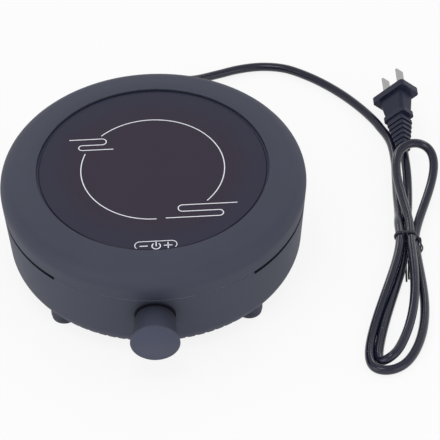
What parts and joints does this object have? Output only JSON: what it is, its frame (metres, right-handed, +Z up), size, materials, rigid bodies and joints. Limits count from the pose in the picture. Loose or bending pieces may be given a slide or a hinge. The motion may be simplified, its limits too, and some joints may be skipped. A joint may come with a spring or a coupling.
{
  "type": "portable electric hot plate",
  "caption": "Round tabletop electric hot plate: a recessed glass cooking surface in a bowl-shaped vented housing, with a front knob that turns and presses and a tied mains cord with plug.",
  "frame": {"origin": "on the housing's axis, at the table plane under the rubber feet", "axes": "+Z up, knob towards -Y, cord exit towards +Y, millimetres in the source"},
  "size_m": [0.2855, 0.294, 0.0729],
  "materials": {
    "shell_plastic": "fine matte, soft to the touch",
    "inner_plastic": "moulded",
    "cook_glass": "polished",
    "soft_rubber": "matte",
    "steel": "zinc plated",
    "insulation": "pressed mineral board and ceramic",
    "coil_alloy": "oxidised",
    "tab_metal": "plated",
    "bronze": "sintered",
    "winding": "enamelled wire",
    "magnet": "ferrite",
    "board_green": "solder mask",
    "relay_case": "moulded",
    "tape_yellow": "taped",
    "film_case": "dipped",
    "can_sleeve": "shrunk sleeve",
    "fin_metal": "extruded",
    "chip_black": "moulded",
    "terminal_green": "moulded",
    "rotor_white": "moulded",
    "cord_jacket": "satin",
    "tie_wire": "coated wire",
    "blade_metal": "nickel plated"
  },
  "bodies": {
    "housing": {"top_cover": "shell_plastic", "base_shell": "shell_plastic", "fan_frame": "inner_plastic", "cord_clamp": "inner_plastic", "glass_plate": "cook_glass", "glass_seal": "soft_rubber", "rubber_feet": "soft_rubber", "cord_boot": "soft_rubber", "housing_screws": "steel", "heater_pan": "steel", "limiter_rod": "steel", "heater_bracket": "steel", "bracket_screws": "steel", "pan_springs": "steel", "fan_screws": "steel", "power_screws": "steel", "control_screws": "steel", "encoder_case": "steel", "switch_dome": "steel", "clamp_screws": "steel", "insulation_dish": "insulation", "limiter_head": "insulation", "terminal_strip": "insulation", "heating_coil": "coil_alloy", "terminal_tabs": "tab_metal", "fan_bearing": "bronze", "fan_stator": "winding", "power_board": "board_green", "control_board": "board_green", "relay": "relay_case", "transformer": "tape_yellow", "film_capacitor": "film_case", "can_capacitor": "can_sleeve", "heatsink": "fin_metal", "triac": "chip_black", "terminal_block": "terminal_green", "inner_lead": "cord_jacket", "mains_cord": "cord_jacket", "cord_hank": "cord_jacket", "plug_relief": "cord_jacket", "plug_body": "cord_jacket", "cord_tie": "tie_wire", "plug_blades": "blade_metal"},
    "encoder_rotor": {"encoder_rotor": "rotor_white"},
    "knob": {"knob": "shell_plastic", "knob_clip": "steel", "encoder_shaft": "steel"},
    "fan": {"fan_rotor": "inner_plastic", "fan_magnet": "magnet", "fan_shaft": "steel"}
  },
  "joints": [
    {"name": "knob_turn", "type": "hinge", "parent": "housing", "child": "encoder_rotor", "pos_m": [0, -0.09, 0.0365], "axis": [0, 1, 0], "continuous": true},
    {"name": "knob_press", "type": "slide", "parent": "encoder_rotor", "child": "knob", "axis": [0, 1, 0], "range_m": [0, 0.0015], "stiffness_N_per_m": 2000, "springref_m": -0.0005},
    {"name": "fan_spin", "type": "hinge", "parent": "housing", "child": "fan", "pos_m": [0, 0, 0.015], "axis": [0, 0, 1], "continuous": true}
  ]
}
